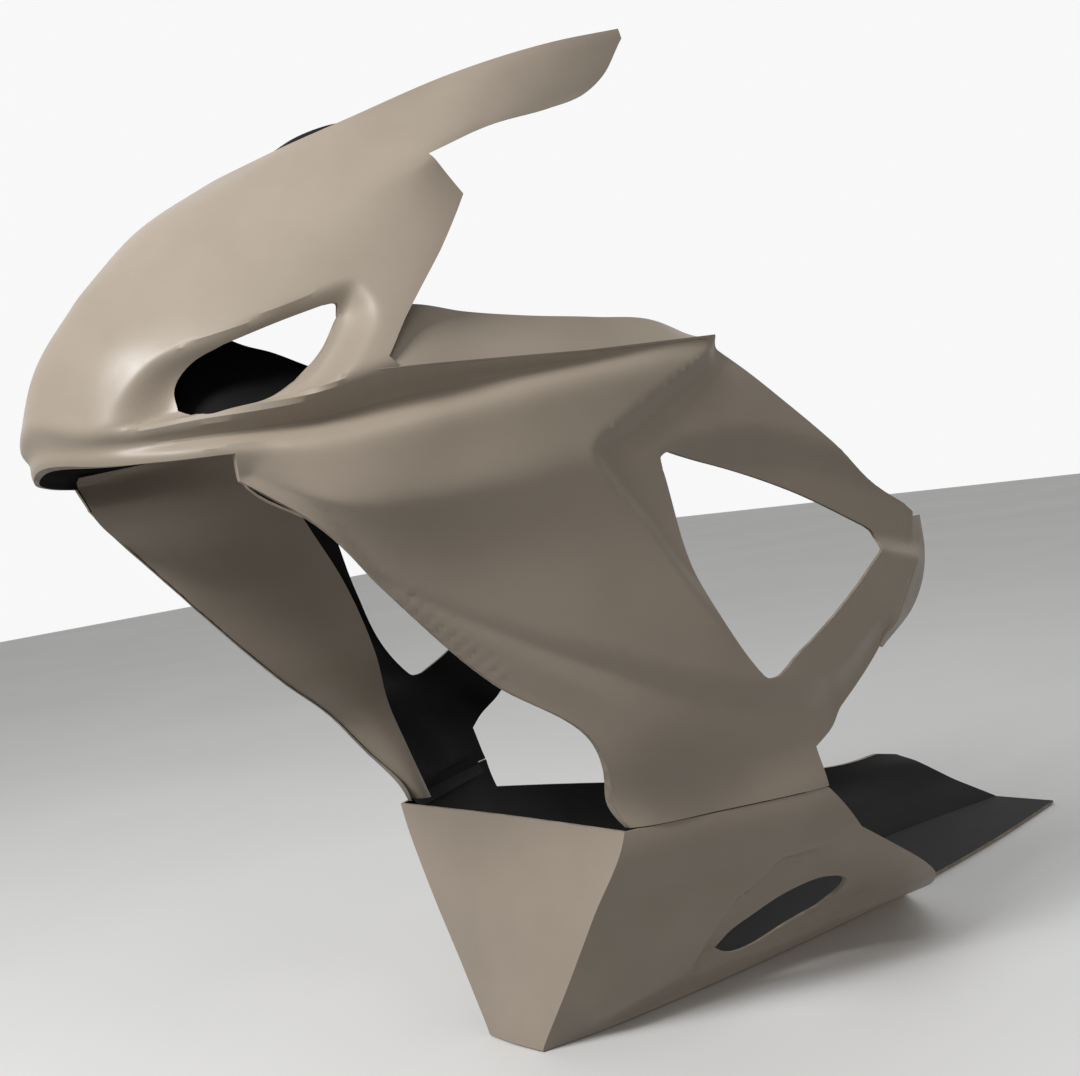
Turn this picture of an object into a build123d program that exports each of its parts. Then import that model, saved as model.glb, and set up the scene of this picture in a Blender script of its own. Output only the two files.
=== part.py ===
from build123d import *
import os

# Race fairing in two mouldings: the upper with its nose and side panels, and the belly pan under it.
# Millimetres. X is the width, Y runs from the nose to the tail, Z is up. The belly's flat is at Z = 0.

os.makedirs("parts", exist_ok=True)

# Driving dimensions
wall = 3.0                # laminate thickness
joint_z = 197.0           # height of the seam between the two mouldings
joint_gap = 0.3           # running gap along that seam
joint_front_y = -219.0    # seam, front end
joint_rear_y = -62.0      # seam, rear end
floor_front_y = -250.0    # front edge of the belly's flat
floor_rear_y = 588.0      # rear edge of the belly's flat
nose_y = -592.0           # foremost point of the nose
horn_y = -92.0            # rear end of the screen horns
rear_y = 112.0            # rear end of the side panels
window_depth = 9.0        # how far the border of a window is sunk
scoop_depth = 14.0        # how far the dish of a scoop is sunk
scoop_round = 4.0         # corner radius of the hole in a scoop
spare = 30.0              # how far a skin is made past its edge, before it is cut there
cut_reach = 420.0         # half width of every cutter, past both sides
rail_spans = 44           # facets along each rail of a hull
strip_spans = 16          # facets along a flange or a ledge
recess_facets = 40        # facets round a recess


def hull_rail(*left):
    """A line round the whole body, from the right rear through the centre plane to the left rear."""
    right = [(-x, y, z) for x, y, z in reversed(left[1:])]
    with BuildLine() as rail:
        Spline(*right, *left)
    return rail.edges()[0]


def stations(rail, count):
    """Points at even steps along a rail."""
    return [rail.position_at(i / count) for i in range(count + 1)]


def skin(rails, count, depth=wall, start=0.0):
    """A moulded wall between two depths under the rails, in flat facets with a fold on each rail."""
    rail_rows = [stations(rail, count) for rail in rails]
    last_row, last_column = len(rail_rows) - 1, count
    rows, inner = [], []
    for i, row in enumerate(rail_rows):
        inward = []
        for j in range(len(row)):
            across = rail_rows[min(i + 1, last_row)][j] - rail_rows[max(i - 1, 0)][j]
            along = row[min(j + 1, last_column)] - row[max(j - 1, 0)]
            inward.append(across.cross(along).normalized())
        rows.append([point + way * start for point, way in zip(row, inward)])
        inner.append([point + way * depth for point, way in zip(row, inward)])
    quads = []
    for i in range(last_row):
        for j in range(last_column):
            for side in (rows, inner):
                quads.append((side[i][j], side[i][j + 1], side[i + 1][j + 1], side[i + 1][j]))
    for i in (0, last_row):
        for j in range(last_column):
            quads.append((rows[i][j], rows[i][j + 1], inner[i][j + 1], inner[i][j]))
    for j in (0, last_column):
        for i in range(last_row):
            quads.append((rows[i][j], rows[i + 1][j], inner[i + 1][j], inner[i][j]))
    facets = []
    for a, b, c, d in quads:
        facets.append(Face(Wire.make_polygon([a, b, c])))
        facets.append(Face(Wire.make_polygon([a, c, d])))
    return Solid(Shell(facets))


def cutter(outline):
    """A block with the side view's outline, as wide as the whole body."""
    return extrude(outline.sketch, amount=cut_reach, both=True, mode=Mode.PRIVATE)


def left_block(face):
    """A block with a face of the side view as its outline, over the body's left half only."""
    return extrude(face, amount=cut_reach, mode=Mode.PRIVATE)


def inside_wall(body, places):
    """Points in the middle of the left side's wall, at these places of the side view."""
    found = []
    for y, z in places:
        outer = body.find_intersection_points(Axis((0, y, z), (1, 0, 0)))[-1][0]
        found.append(outer - Vector(wall / 2, 0, 0))
    return found


# Rails of the lower nose and the side panels, from the ridge down to the seam
rear_line = rear_y + spare
ridge = hull_rail(
    (0, nose_y, 576), (62, -578, 563), (130, -528, 562), (175, -477, 565), (213, -415, 577),
    (222, -340, 577), (227, -250, 578), (231, -131, 583), (238, 0, 570), (246, rear_line, 560),
)
valley = hull_rail(
    (0, nose_y + 3, 560), (62, -578, 553), (128, -522, 550), (166, -465, 551), (198, -405, 557),
    (214, -335, 564), (224, -250, 570), (231, -131, 575), (240, 0, 548), (248, rear_line, 530),
)
beak = hull_rail(
    (0, nose_y - 1, 550), (62, -579, 545), (138, -521, 540), (185, -462, 536), (212, -412, 541),
    (228, -345, 549), (236, -260, 557), (238, -131, 558), (244, 0, 520), (250, rear_line, 500),
)
crease = hull_rail(
    (0, nose_y + 4, 528), (80, -572, 526), (146, -510, 520), (170, -480, 514), (200, -426, 507),
    (228, -370, 499), (243, -300, 492), (249, -180, 480), (252, -40, 460), (252, rear_line, 440),
)
hip = hull_rail(
    (0, -530, 455), (90, -505, 455), (160, -448, 455), (192, -385, 450), (226, -310, 446),
    (248, -200, 436), (255, -60, 415), (252, rear_line, 400),
)
waist = hull_rail(
    (0, -440, 365), (90, -420, 365), (166, -362, 365), (204, -300, 360), (236, -220, 355),
    (255, -130, 345), (257, -10, 330), (250, rear_line, 320),
)
skirt = hull_rail(
    (0, -330, 282), (100, -318, 282), (186, -266, 282), (212, -215, 280), (236, -150, 275),
    (251, -60, 265), (252, 60, 255), (246, rear_line, 250),
)
seam = hull_rail(
    (0, -232, joint_z), (110, -232, joint_z), (155, joint_front_y, joint_z), (196, -150, joint_z),
    (235, joint_rear_y, joint_z), (248, 40, joint_z), (250, rear_line, joint_z),
)
hem = hull_rail(
    (0, -235, 160), (105, -235, 160), (145, -222, 160), (186, -150, 160), (226, -62, 160),
    (240, 40, 160), (244, rear_line, 160),
)
# Rails of the nose cone and the two horns beside the screen, up to the screen's rim
brow = hull_rail(
    (0, -574, 622), (60, -560, 614), (108, -524, 612), (145, -478, 622), (176, -425, 638),
    (204, -365, 655), (214, -290, 668), (218, -131, 680), (222, rear_line, 690),
)
flank_line = hull_rail(
    (0, -536, 671), (52, -513, 677), (100, -464, 690), (150, -409, 706), (188, -348, 729),
    (181, -274, 757), (166, -180, 784), (156, horn_y, 808), (150, rear_line, 850),
)
cowl_mid = hull_rail(
    (0, -478, 722), (48, -460, 727), (92, -418, 737), (128, -368, 755), (148, -290, 786),
    (152, -190, 818), (153, horn_y, 838), (158, rear_line, 880),
)
rim = hull_rail(
    (0, -412, 758), (40, -408, 759), (76, -394, 764), (110, -357, 777), (131, -266, 811),
    (145, -168, 839), (151, horn_y, 855), (165, rear_line, 905),
)
# Outlines seen from the side, Y across and Z up
with BuildSketch(Plane.YZ) as upper_outline:
    with BuildLine():
        Polyline((nose_y - 14, 545), (nose_y - 14, 880), (horn_y - 4, 880), (horn_y, 846))
        Spline((horn_y, 846), (-124, 812), (-158, 791), (-200, 777), (-274, 757), (-343, 731))
        Polyline((-343, 731), (-327, 699), (-360, 657), (-399, 611), (-419, 585))
        Spline((-419, 585), (-340, 581), (-250, 580), (-116, 584))
        Line((-116, 584), (-110, 571))
        Spline((-110, 571), (-36, 512), (72, 431), (rear_y - 12, 417))
        Polyline((rear_y - 12, 417), (rear_y, 408), (rear_y - 8, 377))
        Spline((rear_y - 8, 377), (33, 305), (-30, 262), (-72, 234))
        Polyline((-72, 234), (joint_rear_y, joint_z + joint_gap), (joint_front_y, joint_z + joint_gap))
        Spline(
            (joint_front_y, joint_z + joint_gap), (-244, 245), (-268, 284), (-335, 340),
            (-411, 420), (-458, 474), (-503, 516),
        )
        Line((-503, 516), (-508, 535))
        Spline((-508, 535), (-555, 536), (nose_y, 543), (nose_y - 14, 545))
    make_face()

with BuildSketch(Plane.YZ) as window_outline:
    with BuildLine():
        Spline((-204, 492), (-171, 487), (-51, 446), (50, 397))
        Spline((50, 397), (-20, 352), (-112, 304), (-134, 303))
        Line((-134, 303), (-150, 322))
        Spline((-150, 322), (-189, 400), (-210, 470), (-204, 492))
    make_face()

with BuildSketch(Plane.YZ) as scoop_outline:
    with BuildLine():
        Polyline((-524, 568), (-507, 606), (-426, 631), (-464, 578), (-490, 569), close=True)
    make_face()
    fillet(scoop_outline.vertices(), scoop_round)

# Outlines of the recesses round each window and each scoop
with BuildSketch(Plane.YZ) as window_recess_outline:
    with BuildLine():
        Spline((-214, 532), (-150, 524), (-60, 488), (40, 438), (82, 412))
        Spline((82, 412), (62, 372), (10, 318), (-70, 290), (-150, 290))
        Spline((-150, 290), (-186, 330), (-216, 400), (-246, 470), (-240, 512), (-214, 532))
    make_face()

with BuildSketch(Plane.YZ) as scoop_recess_outline:
    with BuildLine():
        Spline((-566, 572), (-536, 607), (-488, 622), (-428, 641))
        Line((-428, 641), (-421, 629))
        Spline((-421, 629), (-448, 595), (-474, 573))
        Spline((-474, 573), (-510, 562), (-545, 561), (-566, 572))
    make_face()

# The whole upper's skin
hull_rails = (hem, seam, skirt, waist, hip, crease, beak, valley, ridge, brow, flank_line, cowl_mid, rim)
hull = skin(hull_rails, rail_spans)


def faceted(outline):
    """A curved outline of the side view as a polygon, so that a recess has flat facets like the skin."""
    line = outline.sketch.faces()[0].outer_wire()
    with BuildSketch(Plane.YZ) as polygon:
        with BuildLine():
            Polyline(*[(p.Y, p.Z) for p in stations(line, recess_facets)[:-1]], close=True)
        make_face()
    return polygon.sketch


def recess(outline, depth):
    """A sunken floor in the hull's left side, and the collar that joins it to the skin round it."""
    collar_outline = offset(outline, amount=wall, kind=Kind.INTERSECTION, mode=Mode.PRIVATE)
    floor_outline = offset(outline, amount=wall / 2, kind=Kind.INTERSECTION, mode=Mode.PRIVATE)
    collar_band = left_block(collar_outline) - left_block(outline)
    collar = skin(hull_rails, rail_spans, depth + wall + 1, wall / 2) & collar_band
    return collar, (hull & left_block(floor_outline)).translate((-depth, 0, 0))


def strip(places, reach):
    """A strip of skin that starts inside the hull's wall and leaves it by the given reach."""
    root = inside_wall(hull, places)
    edge = [point + Vector(*step) for point, step in zip(root, reach)]
    return skin((Edge.make_spline(root), Edge.make_spline(edge)), strip_spans)


# The ledge on a flank, the flange along a leading edge and the tab behind a side panel's rear edge
ledge = strip(
    [(-414, 574), (-385, 575), (-340, 576), (-290, 577), (-220, 577), (-160, 580), (-104, 581)],
    [(-17, 10, 50), (-22, 5, 48), (-24, 0, 40), (-22, 0, 34), (-20, 0, 29), (-19, 0, 22), (-18, 0, 16)],
)
flange = strip(
    [(-499, 520), (-451, 477), (-407, 424), (-333, 344), (-263, 287), (-243, 260), (-218, 208)],
    [(-30, 50, 6), (-34, 48, 6), (-34, 46, 6), (-30, 40, 4), (-30, 32, 3), (-28, 28, 3), (-12, 14, 0)],
)
tab = strip(
    [(98, 404), (93, 380), (60, 336), (26, 302)],
    [(-9, 62, -2), (-9, 66, -8), (-9, 50, -10), (-8, 24, -6)],
)
window_recess = faceted(window_recess_outline)
scoop_recess = faceted(scoop_recess_outline)
added = [ledge, flange, tab, *recess(window_recess, window_depth), *recess(scoop_recess, scoop_depth)]

with BuildSketch(Plane.XZ) as left_half_outline:
    with Locations((cut_reach / 2, joint_z + cut_reach)):
        Rectangle(cut_reach, 3 * cut_reach)
left_half = extrude(left_half_outline.sketch, amount=2 * cut_reach, both=True, mode=Mode.PRIVATE)

# Upper fairing: its left half is made first, then mirrored
with BuildPart() as upper_fairing:
    add(hull)
    add(cutter(upper_outline), mode=Mode.INTERSECT)
    add(left_half, mode=Mode.INTERSECT)
    add(left_block(window_recess), mode=Mode.SUBTRACT)
    add(left_block(scoop_recess), mode=Mode.SUBTRACT)
    for piece in added:
        add(piece)
    add(left_block(window_outline.sketch), mode=Mode.SUBTRACT)
    add(left_block(scoop_outline.sketch), mode=Mode.SUBTRACT)
    mirror(about=Plane.YZ)
upper_fairing.part.label = "upper_fairing"
export_step(upper_fairing.part, "parts/upper_fairing.step")

# Rails of the belly pan, from under the flat up to the seam
pan_root = hull_rail(
    (0, floor_front_y - 3, -20), (22, floor_front_y - 3, -20), (34, -244, -20), (37, -200, -20), (46, -90, -20),
    (48, 80, -20), (44, 226, -20), (30, 420, -14), (18, floor_rear_y, -10),
)
keel = hull_rail(
    (0, floor_front_y - 2, 0), (26, floor_front_y - 2, 0), (39, -243, 0), (48, -200, 0), (62, -90, 0), (72, 80, 0),
    (74, 226, 0), (62, 420, 0), (40, floor_rear_y, 0),
)
floor_edge = hull_rail(
    (0, floor_front_y - 0.5, 0), (25, floor_front_y - 0.5, 0), (37.5, -242, 0), (46.5, -200, 0), (60.5, -90, 0),
    (70.5, 80, 0), (72.5, 226, 0), (60.5, 420, 0), (38.5, floor_rear_y - 2, 0),
)
chine = hull_rail(
    (0, -245, 60), (55, -245, 60), (72, -234, 62), (84, -190, 60), (112, -90, 50), (140, 40, 42), (150, 150, 36),
    (130, 400, 22), (100, floor_rear_y, 18),
)
pan_side = hull_rail(
    (0, -240, 125), (92, -240, 125), (112, -228, 128), (138, -175, 125), (182, -75, 118), (212, 40, 100),
    (216, 160, 78), (196, 400, 48), (150, floor_rear_y, 38),
)
pan_top = hull_rail(
    (0, -232, joint_z), (110, -232, joint_z), (155, joint_front_y, joint_z), (196, -150, joint_z),
    (235, joint_rear_y, joint_z), (252, 60, 178), (250, 200, 146), (236, 420, 92), (208, floor_rear_y, 60),
)
pan_brim = hull_rail(
    (0, -230, joint_z + 30), (112, -230, joint_z + 30), (160, -220, joint_z + 30), (198, -155, joint_z + 30),
    (237, joint_rear_y, joint_z + 30), (256, 60, 212), (256, 200, 180), (244, 420, 124), (216, floor_rear_y, 88),
)
with BuildSketch(Plane.YZ) as pan_left_outline:
    with BuildLine():
        Polyline(
            (floor_front_y - 50, -spare), (floor_front_y - 50, joint_z + spare),
            (joint_rear_y - spare, joint_z + spare), (-18, 151), (142, 53), (226, 0), (226, -spare),
            close=True,
        )
    make_face()

with BuildSketch(Plane.YZ) as pan_right_outline:
    with BuildLine():
        Polyline(
            (floor_front_y - 50, -spare), (floor_front_y - 50, joint_z + spare),
            (joint_rear_y, joint_z + spare), (joint_rear_y, 168), (143, 120),
        )
        Spline((143, 120), (320, 84), (493, 58), (560, 56))
        Polyline(
            (560, 56), (floor_rear_y - 2, 50), (floor_rear_y - 2, -spare), (floor_front_y - 50, -spare),
        )
    make_face()

with BuildSketch(Plane.YZ) as duct_outline:
    with BuildLine():
        Spline((-84, 46), (-80, 66), (-33, 92), (-1, 93))
        Spline((-1, 93), (13, 90), (13, 79))
        Spline((13, 79), (-16, 51), (-72, 41), (-84, 46))
    make_face()

pan_left_block = extrude(pan_left_outline.sketch, amount=cut_reach, mode=Mode.PRIVATE)
pan_right_block = extrude(pan_right_outline.sketch, amount=-cut_reach, mode=Mode.PRIVATE)

with BuildPart() as belly_pan:
    add(skin((pan_root, keel, chine, pan_side, pan_top, pan_brim), rail_spans))
    add(pan_left_block + pan_right_block, mode=Mode.INTERSECT)
    with Locations((0, (floor_front_y + floor_rear_y) / 2, 0)):
        Box(
            2 * cut_reach, 1.5 * (floor_rear_y - floor_front_y), joint_z,
            align=(Align.CENTER, Align.CENTER, Align.MIN), mode=Mode.INTERSECT,
        )
    with BuildSketch(Plane.XY):
        with BuildLine():
            add(floor_edge)
            Line(floor_edge @ 1, floor_edge @ 0)
        make_face()
    extrude(amount=wall)
    add(left_block(duct_outline.sketch), mode=Mode.SUBTRACT)
belly_pan.part.label = "belly_pan"
export_step(belly_pan.part, "parts/belly_pan.step")

for piece in (upper_fairing, belly_pan):
    print(piece.part.label, piece.part.volume, len(piece.part.solids()), piece.part.bounding_box())
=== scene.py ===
import math

import bmesh
import bpy
from mathutils import Matrix, Vector
from mathutils.bvhtree import BVHTree


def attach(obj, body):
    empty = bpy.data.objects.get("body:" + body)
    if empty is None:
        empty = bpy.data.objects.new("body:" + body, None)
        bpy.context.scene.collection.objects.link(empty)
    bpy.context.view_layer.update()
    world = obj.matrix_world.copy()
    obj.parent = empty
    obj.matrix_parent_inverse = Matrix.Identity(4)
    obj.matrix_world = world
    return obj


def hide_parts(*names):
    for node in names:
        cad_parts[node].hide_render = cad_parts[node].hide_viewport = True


# Race fairing: two primed mouldings, a nose with side panels and a belly pan.
# Places below are in millimetres, as the fairing's own sizes are, and turned into metres by mm().

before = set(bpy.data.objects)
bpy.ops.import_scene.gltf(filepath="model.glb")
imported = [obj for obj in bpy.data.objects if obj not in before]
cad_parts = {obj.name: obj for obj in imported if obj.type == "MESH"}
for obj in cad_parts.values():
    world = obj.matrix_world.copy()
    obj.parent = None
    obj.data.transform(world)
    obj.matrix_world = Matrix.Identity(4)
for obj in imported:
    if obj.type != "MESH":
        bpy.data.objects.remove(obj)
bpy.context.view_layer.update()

# Sizes, in millimetres
wall = 3.0
nose_y = -592.0
horn_y = -92.0
rear_y = 112.0
joint_z = 197.0
joint_gap = 1.1
joint_front_y = -219.0
joint_rear_y = -62.0
floor_front_y = -250.0
floor_rear_y = 588.0
spare = 30.0
rear_line = rear_y + spare
brim_z = joint_z + 30
cut_reach = 420.0
strip_wall = wall * 0.8
lip_wall = wall / 2
seat_wall = 2.0
floor_inset = 1.5

# Heights where the leading edge starts to turn in, where it does so fully, and where it stops
roll_start_z = 250.0
roll_full_z = 360.0
roll_end_z = 540.0

# Mesh density, and the angle from which an edge is shaded as sharp
columns = 420
front_columns = 44
rail_steps = 12
row_pitch = 4.5
soften_passes = 5
inner_reach = 4
sharp_angle = math.radians(26)

# Material slots of a moulding
OUTSIDE, INSIDE, EDGE = 0, 1, 2


def mm(point):
    """A place in millimetres as a vector in metres."""
    return Vector(point) * 0.001


# Curves


def hermite(a, b, ta, tb, s):
    """A point between a and b with end tangents ta and tb, at the share s."""
    s2, s3 = s * s, s * s * s
    return a * (2 * s3 - 3 * s2 + 1) + ta * (s3 - 2 * s2 + s) + b * (3 * s2 - 2 * s3) + tb * (s3 - s2)


def tangents(points, sharp=()):
    """Two tangents for each point, before and after it. A sharp point keeps its neighbours' directions."""
    result = []
    last = len(points) - 1
    for i, point in enumerate(points):
        before = points[i] - points[i - 1] if i > 0 else None
        after = points[i + 1] - points[i] if i < last else None
        if before is None or after is None or i in sharp:
            result.append((before or after, after or before))
            continue
        lb, la = before.length, after.length
        slope = (before / lb * la + after / la * lb) / (lb + la)
        result.append((slope * lb, slope * la))
    return result


def curve(points, counts, sharp=()):
    """Points along a smooth line through points, with counts[i] steps between points i and i + 1."""
    ends = tangents(points, sharp)
    line = []
    for i, count in enumerate(counts):
        for k in range(count):
            line.append(hermite(points[i], points[i + 1], ends[i][1], ends[i + 1][0], k / count))
    return line + [points[-1]]


def even(line, count):
    """The line's points at count even steps of its length."""
    lengths = [0.0]
    for a, b in zip(line, line[1:]):
        lengths.append(lengths[-1] + (b - a).length)
    result, i = [], 0
    for k in range(count + 1):
        want = lengths[-1] * k / count
        while i < len(line) - 2 and lengths[i + 1] < want:
            i += 1
        span = lengths[i + 1] - lengths[i]
        result.append(line[i].lerp(line[i + 1], (want - lengths[i]) / span if span else 0.0))
    return result


def spline(*points, steps=12, sharp=()):
    """A smooth line through places of the side view or of space."""
    places = [Vector(point).to_3d() if len(point) == 2 else Vector(point) for point in points]
    return curve(places, [steps] * (len(places) - 1), sharp)


def rail(*left, corner=None):
    """A line round the whole body, from the right rear through the centre plane to the left rear."""
    right = [(-x, y, z) for x, y, z in reversed(left[1:])]
    middle = len(right)
    if corner is None:
        return even(spline(*right, *left), columns)
    ends = (middle - corner, middle + corner)
    line = spline(*right, *left, steps=rail_steps, sharp=ends)
    first, second = (k * rail_steps for k in ends)
    side_columns = (columns - front_columns) // 2
    front = even(line[first:second + 1], front_columns)
    return even(line[:first + 1], side_columns)[:-1] + front + even(line[second:], side_columns)[1:]


def ribs(rails, sharp=()):
    """Rows of points over the whole skin: each rib runs across the rails, with a fold at each sharp one."""
    counts = []
    for low, high in zip(rails, rails[1:]):
        mean = sum((b - a).length for a, b in zip(low, high)) / len(low)
        counts.append(max(1, round(mean / row_pitch)))
    lines = [curve(list(points), counts, sharp) for points in zip(*rails)]
    for _ in range(soften_passes):
        lines = [soften(line) for line in lines]
    return [list(row) for row in zip(*lines)]


def soften(line):
    """The line with each inner point moved towards its neighbours, which rounds the folds."""
    inner = [(a + 2 * b + c) / 4 for a, b, c in zip(line, line[1:], line[2:])]
    return [line[0]] + inner + [line[-1]]


# Pressed forms, sunk into a skin inside an outline of the side view


def form(points, depth, steps=6, left_only=False):
    """A pressed form, of points (y, z, width of the slope there). It has its depth past the slope."""
    line = spline(*points, points[0], steps=steps)[:-1]
    low = (min(p.x for p in line), min(p.y for p in line))
    high = (max(p.x for p in line), max(p.y for p in line))
    return line, depth, low, high, left_only


def depth_at(pressed, place):
    """How deep a form is at a place of the skin."""
    line, depth, low, high, left_only = pressed
    y, z = place.y, place.z
    if not (low[0] < y < high[0] and low[1] < z < high[1]) or (left_only and place.x < 0):
        return 0.0
    inside, share = False, 1.0
    for a, b in zip(line, line[1:] + line[:1]):
        if (a.y > z) != (b.y > z) and y < a.x + (z - a.y) / (b.y - a.y) * (b.x - a.x):
            inside = not inside
        dy, dz = b.x - a.x, b.y - a.y
        along = max(0.0, min(1.0, ((y - a.x) * dy + (z - a.y) * dz) / (dy * dy + dz * dz)))
        gap = math.hypot(y - a.x - along * dy, z - a.y - along * dz)
        share = min(share, gap / (a.z + along * (b.z - a.z)))
    return depth * share * share * (3 - 2 * share) if inside else 0.0


def rolled(place, edge, width, depth):
    """How far the skin has turned in beside a trimmed edge."""
    gap = min(math.hypot(place.y - p.x, place.z - p.y) for p in edge)
    return depth * (1 - gap / width) ** 2 if gap < width else 0.0


def press(rows, forms, edge=(), width=40.0, depth=9.0):
    """The rows with the forms sunk into them and the skin rolled in along the edge."""
    result = []
    for row, inward in zip(rows, normals(rows)):
        line = []
        for place, way in zip(row, inward):
            sunk = sum(depth_at(pressed, place) for pressed in forms)
            if edge and place.z < roll_end_z:
                fade = max(0.0, min(1.0, (place.z - roll_start_z) / (roll_full_z - roll_start_z)))
                sunk += fade * rolled(place, edge, width, depth)
            line.append(place + way * sunk)
        result.append(line)
    return result


# Materials


def new_material(name):
    """A material with one shader: the material, its nodes, its links and the shader."""
    material = bpy.data.materials.new(name)
    material.use_nodes = True
    nodes = material.node_tree.nodes
    nodes.clear()
    output = nodes.new("ShaderNodeOutputMaterial")
    shader = nodes.new("ShaderNodeBsdfPrincipled")
    material.node_tree.links.new(shader.outputs["BSDF"], output.inputs["Surface"])
    return material, nodes, material.node_tree.links, shader


def noise(nodes, links, scale, detail, roughness):
    """Soft noise fixed to the piece, from 0 to 1."""
    place = nodes.new("ShaderNodeTexCoord")
    made = nodes.new("ShaderNodeTexNoise")
    made.inputs["Scale"].default_value = scale
    made.inputs["Detail"].default_value = detail
    made.inputs["Roughness"].default_value = roughness
    links.new(place.outputs["Object"], made.inputs["Vector"])
    return made.outputs["Fac"]


def ramp(nodes, links, source, stops):
    """A colour looked up in the stops by the source's value."""
    made = nodes.new("ShaderNodeValToRGB")
    links.new(source, made.inputs["Fac"])
    made.color_ramp.elements[0].position, made.color_ramp.elements[0].color = stops[0]
    made.color_ramp.elements[1].position, made.color_ramp.elements[1].color = stops[-1]
    for position, color in stops[1:-1]:
        made.color_ramp.elements.new(position).color = color
    return made.outputs["Color"]


def bumps(nodes, links, shader, height, strength, distance):
    """Small relief on the shader's surface."""
    bump = nodes.new("ShaderNodeBump")
    bump.inputs["Strength"].default_value = strength
    bump.inputs["Distance"].default_value = distance
    links.new(height, bump.inputs["Height"])
    links.new(bump.outputs["Normal"], shader.inputs["Normal"])


def primer():
    """Satin warm grey primer: faint blotches from the spray gun and a fine orange peel."""
    material, nodes, links, shader = new_material("satin_primer")
    color = ramp(nodes, links, noise(nodes, links, 7.0, 5.0, 0.55), [
        (0.30, (0.355, 0.297, 0.236, 1)),
        (0.52, (0.385, 0.323, 0.258, 1)),
        (0.75, (0.415, 0.350, 0.281, 1)),
    ])
    links.new(color, shader.inputs["Base Color"])
    sheen = ramp(nodes, links, noise(nodes, links, 22.0, 3.0, 0.6), [
        (0.35, (0.36, 0.36, 0.36, 1)), (0.70, (0.50, 0.50, 0.50, 1)),
    ])
    links.new(sheen, shader.inputs["Roughness"])
    bumps(nodes, links, shader, noise(nodes, links, 900.0, 2.0, 0.5), 0.05, 0.0006)
    shader.inputs["Specular IOR Level"].default_value = 0.42
    return material


def laminate():
    """The mould's black inner face: rough resin over cloth."""
    material, nodes, links, shader = new_material("black_laminate")
    place = nodes.new("ShaderNodeTexCoord")
    weave = nodes.new("ShaderNodeTexWave")
    weave.inputs["Scale"].default_value = 160.0
    weave.inputs["Distortion"].default_value = 2.0
    weave.inputs["Detail"].default_value = 1.0
    links.new(place.outputs["Object"], weave.inputs["Vector"])
    color = ramp(nodes, links, noise(nodes, links, 14.0, 4.0, 0.6), [
        (0.35, (0.003, 0.003, 0.0032, 1)), (0.75, (0.009, 0.009, 0.0092, 1)),
    ])
    links.new(color, shader.inputs["Base Color"])
    bumps(nodes, links, shader, weave.outputs["Fac"], 0.25, 0.0004)
    shader.inputs["Roughness"].default_value = 0.62
    shader.inputs["Specular IOR Level"].default_value = 0.12
    return material


def cut_edge():
    """The trimmed edge, sanded through the primer to the laminate in places."""
    material, nodes, links, shader = new_material("trimmed_edge")
    color = ramp(nodes, links, noise(nodes, links, 45.0, 4.0, 0.6), [
        (0.40, (0.25, 0.21, 0.165, 1)), (0.62, (0.38, 0.32, 0.255, 1)),
    ])
    links.new(color, shader.inputs["Base Color"])
    shader.inputs["Roughness"].default_value = 0.7
    return material


def floor_material():
    """A pale studio floor, a little uneven."""
    material, nodes, links, shader = new_material("pale_floor")
    color = ramp(nodes, links, noise(nodes, links, 1.5, 2.0, 0.5), [
        (0.3, (0.80, 0.80, 0.80, 1)), (0.7, (0.84, 0.84, 0.84, 1)),
    ])
    links.new(color, shader.inputs["Base Color"])
    shader.inputs["Roughness"].default_value = 0.8
    return material


# A moulding's materials, in the order of its slots
finishes = (primer(), laminate(), cut_edge())


# Meshes


def normals(rows, reach=1):
    """The skin's direction at each point of its rows, from its neighbours within reach."""
    last_row, last_column = len(rows) - 1, len(rows[0]) - 1
    result = []
    for i, row in enumerate(rows):
        line = []
        for j in range(len(row)):
            across = rows[min(i + reach, last_row)][j] - rows[max(i - reach, 0)][j]
            along = row[min(j + reach, last_column)] - row[max(j - reach, 0)]
            line.append(across.cross(along).normalized())
        result.append(line)
    return result


def skin_mesh(name, rows, thickness=wall):
    """A closed skin with its outer face on the rows and its inner face one wall further in."""
    inward = normals(rows, inner_reach)
    inner = [[p + n * thickness for p, n in zip(*pair)] for pair in zip(rows, inward)]
    shape = bmesh.new()
    outer_points = [[shape.verts.new(mm(p)) for p in row] for row in rows]
    inner_points = [[shape.verts.new(mm(p)) for p in row] for row in inner]
    last_row, last_column = len(rows) - 1, len(rows[0]) - 1

    def face(corners, material):
        made = shape.faces.new(corners)
        made.material_index = material
        made.smooth = True

    for i in range(last_row):
        for j in range(last_column):
            o, n = outer_points, inner_points
            face((o[i][j], o[i][j + 1], o[i + 1][j + 1], o[i + 1][j]), OUTSIDE)
            face((n[i][j], n[i + 1][j], n[i + 1][j + 1], n[i][j + 1]), INSIDE)
    for j in range(last_column):
        for i, flip in ((0, False), (last_row, True)):
            corners = (outer_points[i][j], inner_points[i][j], inner_points[i][j + 1], outer_points[i][j + 1])
            face(corners[::-1] if flip else corners, EDGE)
    for i in range(last_row):
        for j, flip in ((0, True), (last_column, False)):
            corners = (outer_points[i][j], inner_points[i][j], inner_points[i + 1][j], outer_points[i + 1][j])
            face(corners[::-1] if flip else corners, EDGE)
    bmesh.ops.recalc_face_normals(shape, faces=shape.faces)
    return finish_mesh(name, shape)


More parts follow.
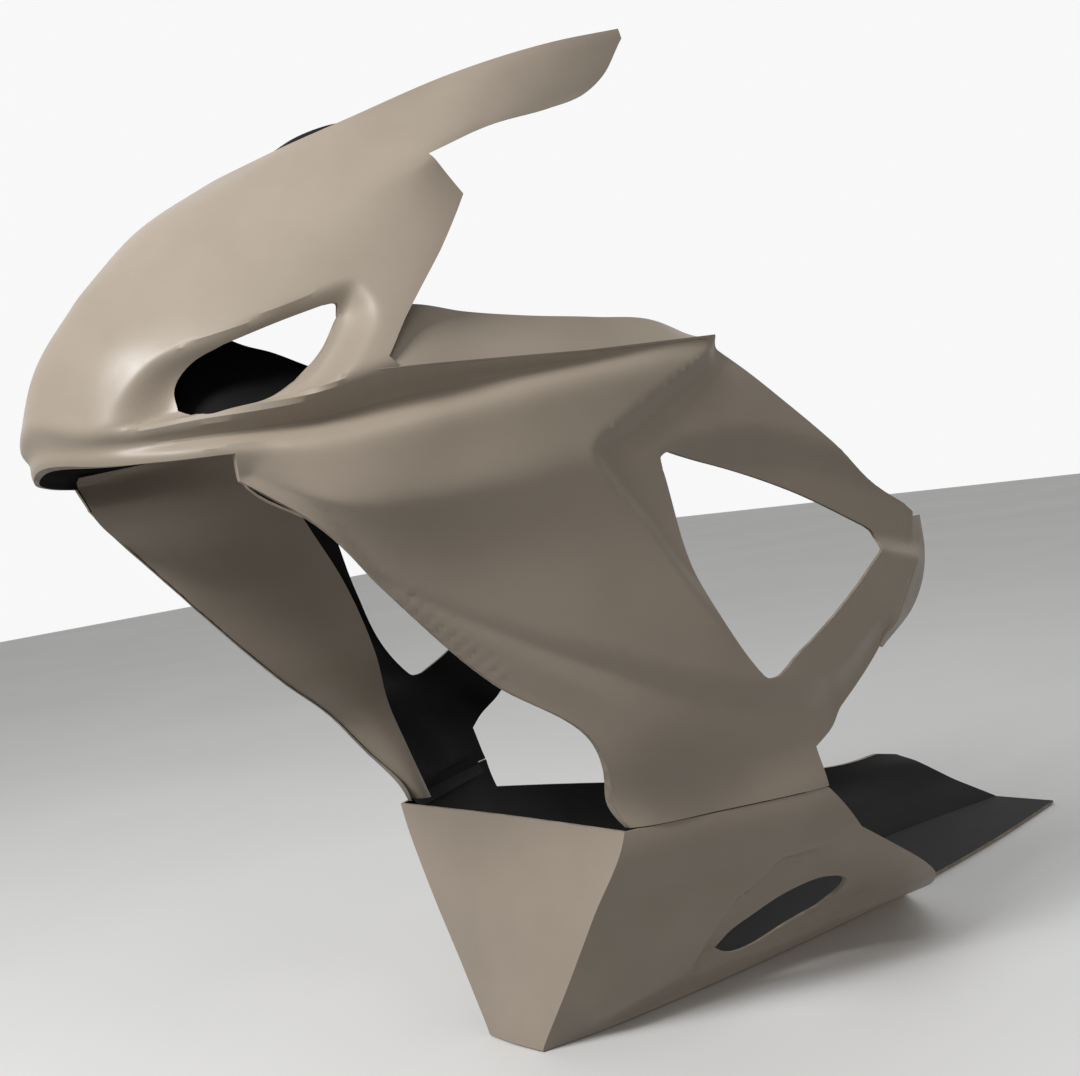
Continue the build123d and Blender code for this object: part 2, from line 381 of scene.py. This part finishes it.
def finish_mesh(name, shape, materials=finishes):
    """A piece of the scene from a bmesh, which is freed."""
    mesh = bpy.data.meshes.new(name)
    shape.to_mesh(mesh)
    shape.free()
    piece = bpy.data.objects.new(name, mesh)
    bpy.context.scene.collection.objects.link(piece)
    for material in materials:
        piece.data.materials.append(material)
    return piece


def surface(rows):
    """The outer face of a skin, for finding the width of the body at a place of the side view."""
    points = [p for row in rows for p in row]
    wide = len(rows[0])
    quads = [(i * wide + j, i * wide + j + 1, (i + 1) * wide + j + 1, (i + 1) * wide + j)
             for i in range(len(rows) - 1) for j in range(wide - 1)]
    return BVHTree.FromPolygons(points, quads)


def on_surface(tree, y, z, proud=0.0):
    """The outermost place of the left side at y and z."""
    hit = tree.ray_cast(Vector((cut_reach, y, z)), Vector((-1, 0, 0)))[0]
    return Vector((hit.x + proud, y, z))


def strip_rows(tree, places, reaches, steps=8, across=6, proud=0.3, bow=0.0):
    """Rows of a strip that leaves the left side at the places and ends at their reaches."""
    root = [on_surface(tree, p.x, p.y, proud) for p in spline(*places, steps=steps)]
    tips = [on_surface(tree, y, z) + Vector(reach) for (y, z), reach in zip(places, reaches)]
    tip = spline(*tips, steps=steps)
    rows = []
    for k in range(across + 1):
        share = k / across
        lift = Vector((bow * math.sin(math.pi * share), 0, 0))
        rows.append([a.lerp(b, share) + lift for a, b in zip(root, tip)])
    return rows


def both_sides(name, rows):
    """The name and rows of the left piece, and of its mirror image, which runs the other way.

    So the outer face of the right piece stays outside.
    """
    mirrored = [[Vector((-p.x, p.y, p.z)) for p in reversed(row)] for row in rows]
    return (name + "_left", rows), (name + "_right", mirrored)


def prism(name, border, low_x=-cut_reach, high_x=cut_reach):
    """A block with a border of the side view, between two widths. Its faces have the edge's material."""
    shape = bmesh.new()
    ends = [[shape.verts.new(mm((x, p.x, p.y))) for p in border] for x in (low_x, high_x)]
    shape.faces.new(ends[0])
    shape.faces.new(ends[1][::-1])
    count = len(border)
    for i in range(count):
        k = (i + 1) % count
        shape.faces.new((ends[0][i], ends[1][i], ends[1][k], ends[0][k]))
    bmesh.ops.recalc_face_normals(shape, faces=shape.faces)
    for face in shape.faces:
        face.material_index = EDGE
    return finish_mesh(name, shape)


def combine(piece, other, operation):
    """Cuts, keeps or joins the other piece, which is then deleted."""
    modifier = piece.modifiers.new("cut", "BOOLEAN")
    modifier.operation = operation
    modifier.solver = "EXACT"
    modifier.material_mode = "INDEX"
    modifier.object = other
    bpy.context.view_layer.update()
    made = bpy.data.meshes.new_from_object(piece.evaluated_get(bpy.context.evaluated_depsgraph_get()))
    piece.modifiers.clear()
    old = piece.data
    piece.data = made
    bpy.data.meshes.remove(old)
    bpy.data.objects.remove(other, do_unlink=True)


def outline(*runs):
    """A closed outline of the side view from straight and curved runs, as (y, z) vectors."""
    points = []
    for run in runs:
        for p in run:
            place = Vector((p[0], p[1]))
            if not points or (place - points[-1]).length > 0.05:
                points.append(place)
    if (points[0] - points[-1]).length < 0.05:
        points.pop()
    return points


def bend(*points, steps=10):
    """A curved run of an outline."""
    return spline(*points, steps=steps)


# Rails of the side panels, from the hem behind the seam up to the ridge
hem = rail(
    (0, -235, 160), (105, -235, 160), (145, -222, 160), (186, -150, 160), (226, -62, 160),
    (240, 40, 160), (244, rear_line, 160),
)
seam = rail(
    (0, -232, joint_z), (110, -232, joint_z), (155, joint_front_y, joint_z), (196, -150, joint_z),
    (235, joint_rear_y, joint_z), (248, 40, joint_z), (250, rear_line, joint_z),
)
skirt = rail(
    (0, -330, 282), (100, -318, 282), (186, -266, 282), (212, -215, 280), (236, -150, 275),
    (251, -60, 265), (252, 60, 255), (246, rear_line, 250),
)
waist = rail(
    (0, -440, 365), (90, -420, 365), (166, -362, 365), (204, -300, 360), (236, -220, 355),
    (255, -130, 345), (257, -10, 330), (250, rear_line, 320),
)
hip = rail(
    (0, -530, 455), (90, -505, 455), (160, -448, 455), (192, -385, 450), (226, -310, 446),
    (248, -200, 436), (255, -60, 415), (252, rear_line, 400),
)
crease = rail(
    (0, nose_y + 18, 526), (80, -556, 522), (143, -498, 508), (178, -466, 490), (206, -412, 488),
    (230, -356, 491), (245, -285, 497), (250, -180, 486), (252, -40, 460), (252, rear_line, 440),
)
beak = rail(
    (0, nose_y + 6, 550), (62, -572, 545), (136, -514, 540), (182, -457, 536), (211, -409, 541),
    (228, -345, 549), (236, -260, 557), (238, -131, 558), (244, 0, 520), (250, rear_line, 500),
)
valley = rail(
    (0, nose_y + 7, 560), (60, -571, 553), (120, -512, 550), (155, -457, 551), (190, -400, 557),
    (207, -331, 564), (218, -250, 569), (228, -131, 575), (240, 0, 548), (248, rear_line, 530),
)
ridge = rail(
    (0, nose_y, 576), (62, -578, 563), (130, -528, 562), (175, -477, 565), (213, -415, 577),
    (222, -340, 577), (227, -250, 578), (231, -131, 583), (238, 0, 570), (246, rear_line, 560),
)

# Rails of the nose cone and the two horns beside the screen, up to the screen's rim
brow = rail(
    (0, -574, 622), (60, -560, 614), (108, -524, 612), (145, -478, 622), (176, -425, 638),
    (204, -365, 655), (214, -290, 668), (218, -131, 680), (222, rear_line, 690),
)
flank_line = rail(
    (0, -536, 671), (52, -513, 677), (100, -464, 690), (150, -409, 706), (188, -348, 729),
    (181, -274, 757), (166, -180, 784), (156, horn_y, 808), (150, rear_line, 850),
)
cowl_mid = rail(
    (0, -478, 722), (48, -460, 727), (92, -418, 737), (128, -368, 755), (148, -290, 786),
    (152, -190, 818), (153, horn_y, 838), (158, rear_line, 880),
)
rim = rail(
    (0, -412, 758), (40, -408, 759), (76, -394, 764), (110, -357, 777), (131, -266, 811),
    (145, -168, 839), (151, horn_y, 855), (165, rear_line, 905),
)
upper_rails = [hem, seam, skirt, waist, hip, crease, beak, valley, ridge, brow, flank_line, cowl_mid, rim]
upper_folds = {upper_rails.index(r) for r in (crease, beak, valley, ridge, flank_line)}

# Outlines of the side view. The leading edge runs from the chin down to the seam.
leading_places = [(-503, 516), (-458, 474), (-411, 420), (-335, 340), (-268, 284), (-244, 245)]
leading_edge = bend(*leading_places, (joint_front_y, joint_z))
upper_outline = outline(
    [(nose_y - 14, 556), (nose_y - 14, 880), (horn_y - 4, 880)],
    bend((horn_y, 846), (-124, 812), (-158, 791), (-200, 777), (-274, 757), (-343, 731)),
    [(-327, 699), (-360, 657), (-399, 611)],
    [(-419, 585), (-414, 577), (-340, 577), (-250, 577), (-116, 581)],
    bend((-110, 571), (-36, 512), (72, 431), (rear_y - 12, 417)),
    [(rear_y, 408)],
    bend((rear_y - 8, 377), (33, 305), (-30, 262), (-72, 234)),
    [(joint_rear_y, joint_z + joint_gap)],
    bend((joint_front_y, joint_z + joint_gap), *reversed(leading_places)),
    bend((-508, 535), (-545, 537), (-572, 541), (nose_y, 551), (nose_y - 14, 556)),
)
window_outline = outline(
    bend((-207, 480), (-206, 489), (-198, 493), (-186, 491)),
    bend((-186, 491), (-171, 487), (-51, 446), (38, 404)),
    bend((38, 404), (47, 397), (49, 390), (44, 384)),
    bend((44, 384), (-20, 348), (-106, 308)),
    bend((-106, 308), (-120, 303), (-132, 304), (-141, 312)),
    bend((-141, 312), (-150, 323), (-189, 400), (-207, 480)),
)
scoop_outline = outline(
    bend((-528, 570), (-526, 585), (-514, 602), (-497, 611)),
    bend((-497, 611), (-462, 622), (-436, 629)),
    bend((-436, 629), (-428, 629), (-427, 620)),
    bend((-427, 620), (-444, 597), (-464, 579)),
    bend((-464, 579), (-480, 570), (-504, 566), (-522, 565), (-528, 570)),
)

# Forms pressed into the upper moulding: the window's border, the wall over the window, the fold along the
# panel's foot and the scoop's dish
upper_forms = [
    form(
        [(-128, 571, 14), (-155, 560, 15), (-205, 539, 15), (-248, 521, 15), (-272, 510, 14), (-280, 501, 14),
         (-275, 487, 14), (-257, 462, 15), (-235, 437, 16), (-205, 390, 18), (-170, 341, 24), (-140, 310, 32),
         (-104, 280, 42), (-60, 240, 30), (100, 250, 20), (150, 420, 20), (60, 480, 20), (-100, 600, 20)],
        9.0),
    form(
        [(-212, 494, 20), (-187, 503, 23), (-164, 506, 24), (-128, 507, 26), (-92, 505, 26), (-43, 496, 26),
         (0, 482, 24), (45, 464, 22), (85, 443, 20), (150, 412, 18), (150, 366, 20), (66, 372, 20),
         (34, 384, 16), (-51, 410, 10), (-171, 450, 10), (-206, 478, 10)],
        12.0),
    form(
        [(-540, 500, 24), (-478, 466, 26), (-408, 428, 28), (-346, 396, 30), (-270, 358, 32), (-190, 325, 34),
         (-110, 300, 34), (-45, 298, 30), (40, 330, 20), (60, 240, 20), (joint_rear_y, joint_z, 45),
         (-150, joint_z, 45), (-192, 240, 40), (-250, 300, 30), (-335, 358, 24), (-415, 415, 24),
         (-520, 480, 30)],
        7.0, steps=4),
    form(
        [(-574, 564, 30), (-562, 583, 22), (-538, 607, 15), (-490, 623, 12), (-446, 638, 15), (-416, 643, 22),
         (-410, 624, 24), (-432, 588, 22), (-464, 565, 16), (-508, 557, 14), (-545, 555, 20),
         (-568, 557, 28)],
        14.0),
]

# Rails of the belly pan, from under the flat up past the seam
pan_root = rail(
    (0, floor_front_y - 3, -20), (35, floor_front_y - 1, -20), (37, -200, -20), (46, -90, -20),
    (48, 80, -20), (44, 226, -20), (30, 420, -14), (18, floor_rear_y, -10), corner=1,
)
keel = rail(
    (0, floor_front_y - 2, 0), (36, floor_front_y, 0), (48, -200, 0), (62, -90, 0), (72, 80, 0),
    (74, 226, 0), (62, 420, 0), (40, floor_rear_y, 0), corner=1,
)
chine = rail(
    (0, -245, 60), (75, -243, 60), (77, -206, 28), (92, -153, 33), (104, -115, 41), (118, -50, 42),
    (136, 30, 42), (150, 150, 36), (130, 400, 22), (100, floor_rear_y, 18), corner=1,
)
pan_side = rail(
    (0, -238, 125), (116, -237, 125), (136, -175, 125), (180, -75, 118), (212, 40, 100),
    (216, 160, 78), (196, 400, 48), (150, floor_rear_y, 38), corner=1,
)
pan_top = rail(
    (0, -224, joint_z), (158, -227, joint_z), (196, -150, joint_z), (235, joint_rear_y, joint_z),
    (252, 60, 178), (250, 200, 146), (236, 420, 92), (208, floor_rear_y, 60), corner=1,
)
pan_brim = rail(
    (0, -222, brim_z), (164, -226, brim_z), (198, -155, brim_z), (237, joint_rear_y, brim_z),
    (256, 60, 212), (256, 200, 180), (244, 420, 124), (216, floor_rear_y, 88), corner=1,
)
pan_rails = [pan_root, keel, chine, pan_side, pan_top, pan_brim]
pan_folds = {pan_rails.index(r) for r in (keel, chine)}

# The form pressed into the pan's near side, behind the slash and round the duct
pan_forms = [
    form(
        [(-84, 138, 8), (-92, 121, 5), (-108, 100, 5), (-116, 68, 5), (-120, 42, 6), (-60, 28, 14),
         (30, 20, 26), (110, 34, 40), (60, 110, 50), (-20, 150, 50)],
        10.0, left_only=True),
]
duct_outline = outline(
    bend((-90, 49), (-84, 64), (-70, 76), (-50, 92), (-21, 101), (-2, 98)),
    bend((-2, 98), (12, 90), (17, 78), (14, 60)),
    bend((14, 60), (-11, 47), (-43, 38), (-80, 42), (-90, 49)),
)
pan_left_outline = outline([
    (-300, 0), (-300, joint_z), (joint_rear_y, joint_z), (-18, 151), (142, 53), (226, 0),
])
pan_right_outline = outline(
    [(-300, 0), (-300, joint_z), (joint_rear_y, joint_z), (joint_rear_y, 168)],
    bend((143, 120), (320, 84), (493, 58), (560, 56)),
    [(floor_rear_y - 2, 50), (floor_rear_y - 2, 0)],
)


def dress(piece, node):
    """Gives a piece its place in the frame, and hides the node of model.glb that it stands in for, if any."""
    piece.data.set_sharp_from_angle(angle=sharp_angle)
    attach(piece, "root")
    if node:
        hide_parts(node)


def lining(name, rows, thickness):
    """A piece of the upper moulding that is black on all its faces."""
    piece = skin_mesh(name, rows, thickness)
    for face in piece.data.polygons:
        face.material_index = INSIDE
    dress(piece, None)


# Upper moulding


def upper_moulding():
    """The nose, the horns and both side panels. Gives the rows of the outer face before the cuts."""
    rows = press(ribs(upper_rails, upper_folds), upper_forms, leading_edge)
    piece = skin_mesh("upper_moulding", rows)
    combine(piece, prism("upper_cut", upper_outline), "INTERSECT")
    combine(piece, prism("window_cut", window_outline), "DIFFERENCE")
    combine(piece, prism("scoop_cut", scoop_outline), "DIFFERENCE")
    dress(piece, "upper_fairing")
    return rows


def upper_strips(tree):
    """The ledge over each side panel, the flange along its leading edge and the tab behind its rear edge."""
    strips = {
        "ledge": strip_rows(
            tree,
            [(-428, 577), (-385, 576), (-340, 576), (-290, 576), (-220, 576), (-160, 578), (-126, 579)],
            [(-20, 14, 46), (-22, 5, 46), (-24, 0, 39), (-22, 0, 33), (-20, 0, 28), (-19, 0, 20),
             (-16, 0, 4)]),
        "flange": strip_rows(
            tree,
            [(-508, 544), (-502, 516), (-457, 474), (-410, 420),
             (-334, 340), (-267, 284), (-243, 246), (-219, 200)],
            [(-14, 160, 14), (-18, 166, 12), (-22, 164, -3), (-24, 139, 5),
             (-24, 91, 10), (-22, 47, 6), (-16, 33, 2), (-10, 21, -3)],
            proud=-3.2, bow=-6.0)[::-1],
        "tab": strip_rows(
            tree,
            [(98, 404), (93, 380), (60, 336), (26, 302)],
            [(-16, 46, -2), (-16, 48, -8), (-13, 34, -10), (-8, 14, -6)]),
    }
    for strip, rows in strips.items():
        for name, half in both_sides(strip, rows):
            dress(skin_mesh(name, half, strip_wall), None)


def scoop_walls(tree):
    """The black wall inside each scoop, from the body below the hole up behind it."""
    root = [on_surface(tree, y, z, -1.2 * wall) for y, z in
            ((-548, 562), (-524, 560), (-500, 559), (-478, 560), (-455, 560), (-438, 562))]
    foot = [
        (74, -538, 568), (95, -515, 566), (112, -497, 565), (125, -477, 564), (138, -453, 566),
        (146, -437, 570),
    ]
    top = [
        (70, -498, 634), (86, -476, 622), (98, -465, 613), (110, -453, 606), (128, -435, 592),
        (134, -425, 586),
    ]
    lines = [spline(*points, steps=6) for points in (root, foot, top)]
    rows = []
    for low, high in zip(lines, lines[1:]):
        for share in (0.0, 0.34, 0.67):
            rows.append([a.lerp(b, share) for a, b in zip(low, high)])
    rows.append(lines[-1])
    for name, half in both_sides("scoop_wall", rows):
        lining(name, half, lip_wall)


def seam_lips(tree):
    """A black lip behind each side's seam, under both mouldings."""
    line = spline((-213, joint_z), (-150, joint_z), (joint_rear_y - 18, joint_z), steps=8)
    rows = [[on_surface(tree, p.x, p.y, -depth) + Vector((0, 0, rise)) for p in line]
            for rise, depth in ((-9, 14), (0, 5), (9, 6))]
    for name, half in both_sides("seam_lip", rows):
        lining(name, half, lip_wall)


def screen_seat():
    """The black lip that stands up inside the front of the rim and carries the screen."""
    left = [
        (0, -411, 756), (30, -408, 756.5), (55, -402, 759), (76, -393, 762), (95, -377, 768),
        (112, -354, 775),
    ]
    rises = [0.2, 1, 4, 7, 5.5, 0.5]
    narrowing, setback, least_rise = 0.97, 12, 3
    points = [(-x, y, z) for x, y, z in reversed(left[1:])] + left
    heights = rises[:0:-1] + rises
    root = spline(*points, steps=8)
    tips = [(x * narrowing, y + setback, z + rise + least_rise) for (x, y, z), rise in zip(points, heights)]
    tip = spline(*tips, steps=8)
    rows = [[a.lerp(b, share) for a, b in zip(root, tip)] for share in (0.0, 0.5, 1.0)]
    lining("screen_seat", rows, seat_wall)


# Belly pan


def belly_moulding():
    """The pan's front and sides, with the longer tail on the right."""
    piece = skin_mesh("belly_moulding", press(ribs(pan_rails, pan_folds), pan_forms))
    cut = prism("pan_cut_left", pan_left_outline, 0.0, cut_reach)
    other = prism("pan_cut_right", pan_right_outline, -cut_reach, 0.0)
    combine(cut, other, "UNION")
    combine(piece, cut, "INTERSECT")
    combine(piece, prism("duct_cut", duct_outline, 30.0, cut_reach), "DIFFERENCE")
    dress(piece, "belly_pan")


def belly_floor():
    """The pan's flat, between its two sides."""
    edge = [p for p in keel if p.y < floor_rear_y - 2]
    shape = bmesh.new()
    narrowing = 0.985
    low, high = [
        [shape.verts.new(mm((p.x * narrowing, p.y + floor_inset, z))) for p in edge] for z in (0, wall)
    ]
    shape.faces.new(low).material_index = OUTSIDE
    shape.faces.new(high[::-1]).material_index = INSIDE
    for i in range(len(edge)):
        k = (i + 1) % len(edge)
        shape.faces.new((low[i], high[i], high[k], low[k])).material_index = EDGE
    bmesh.ops.recalc_face_normals(shape, faces=shape.faces)
    dress(finish_mesh("belly_floor", shape), None)


upper_surface = surface(upper_moulding())
upper_strips(upper_surface)
scoop_walls(upper_surface)
seam_lips(upper_surface)
screen_seat()
belly_moulding()
belly_floor()


# Studio


def make_floor():
    """A pale floor just under the pan, in metres. It throws no soft light up into the fairing."""
    shape = bmesh.new()
    bmesh.ops.create_grid(shape, x_segments=1, y_segments=1, size=8.0)
    piece = finish_mesh("studio_floor", shape, [floor_material()])
    piece.location.z = -0.0015
    piece.visible_diffuse = False


def area_light(name, place, target, size, power):
    """A square soft light at a place, turned to its target."""
    light = bpy.data.lights.new(name, "AREA")
    light.shape = "RECTANGLE"
    light.size = size
    light.size_y = size
    light.energy = power
    lamp = bpy.data.objects.new(name, light)
    lamp.location = place
    lamp.rotation_euler = (Vector(target) - Vector(place)).to_track_quat("-Z", "Y").to_euler()
    bpy.context.scene.collection.objects.link(lamp)


def make_studio():
    """The lights, and a world that is bright behind the fairing and dim elsewhere."""
    world = bpy.data.worlds.new("studio")
    world.use_nodes = True
    nodes, links = world.node_tree.nodes, world.node_tree.links
    place = nodes.new("ShaderNodeTexCoord")
    towards = nodes.new("ShaderNodeVectorMath")
    towards.operation = "DOT_PRODUCT"
    towards.inputs[1].default_value = (-0.75, 0.64, 0.10)
    links.new(place.outputs["Generated"], towards.inputs[0])
    glow = ramp(nodes, links, towards.outputs["Value"], [
        (0.38, (0.26, 0.257, 0.252, 1)), (0.82, (0.94, 0.94, 0.94, 1)),
    ])
    links.new(glow, nodes["Background"].inputs["Color"])
    bpy.context.scene.world = world
    area_light("overhead", place=(1.2, -0.6, 2.4), target=(0, -0.1, 0.4), size=1.0, power=5)
    area_light("key", place=(0.3, -2.4, 2.2), target=(0, -0.2, 0.5), size=0.8, power=66)
    bpy.context.scene.view_settings.view_transform = "Standard"


def make_camera():
    """The camera, at the place and with the lens that fit the photograph."""
    camera = bpy.data.cameras.new("camera")
    camera.sensor_width = 36.0
    camera.lens = 48.333
    camera.clip_end = 50.0
    holder = bpy.data.objects.new("camera", camera)
    right = Vector((0.64237, 0.75175, -0.14913))
    up = Vector((0.06687, 0.13886, 0.98805))
    back = Vector((0.76347, -0.64467, 0.03893))
    turn = Matrix((right, up, back)).transposed().to_4x4()
    holder.matrix_world = Matrix.Translation((1.018278, -0.995316, 0.485665)) @ turn
    bpy.context.scene.collection.objects.link(holder)
    bpy.context.scene.camera = holder


make_floor()
make_studio()
make_camera()
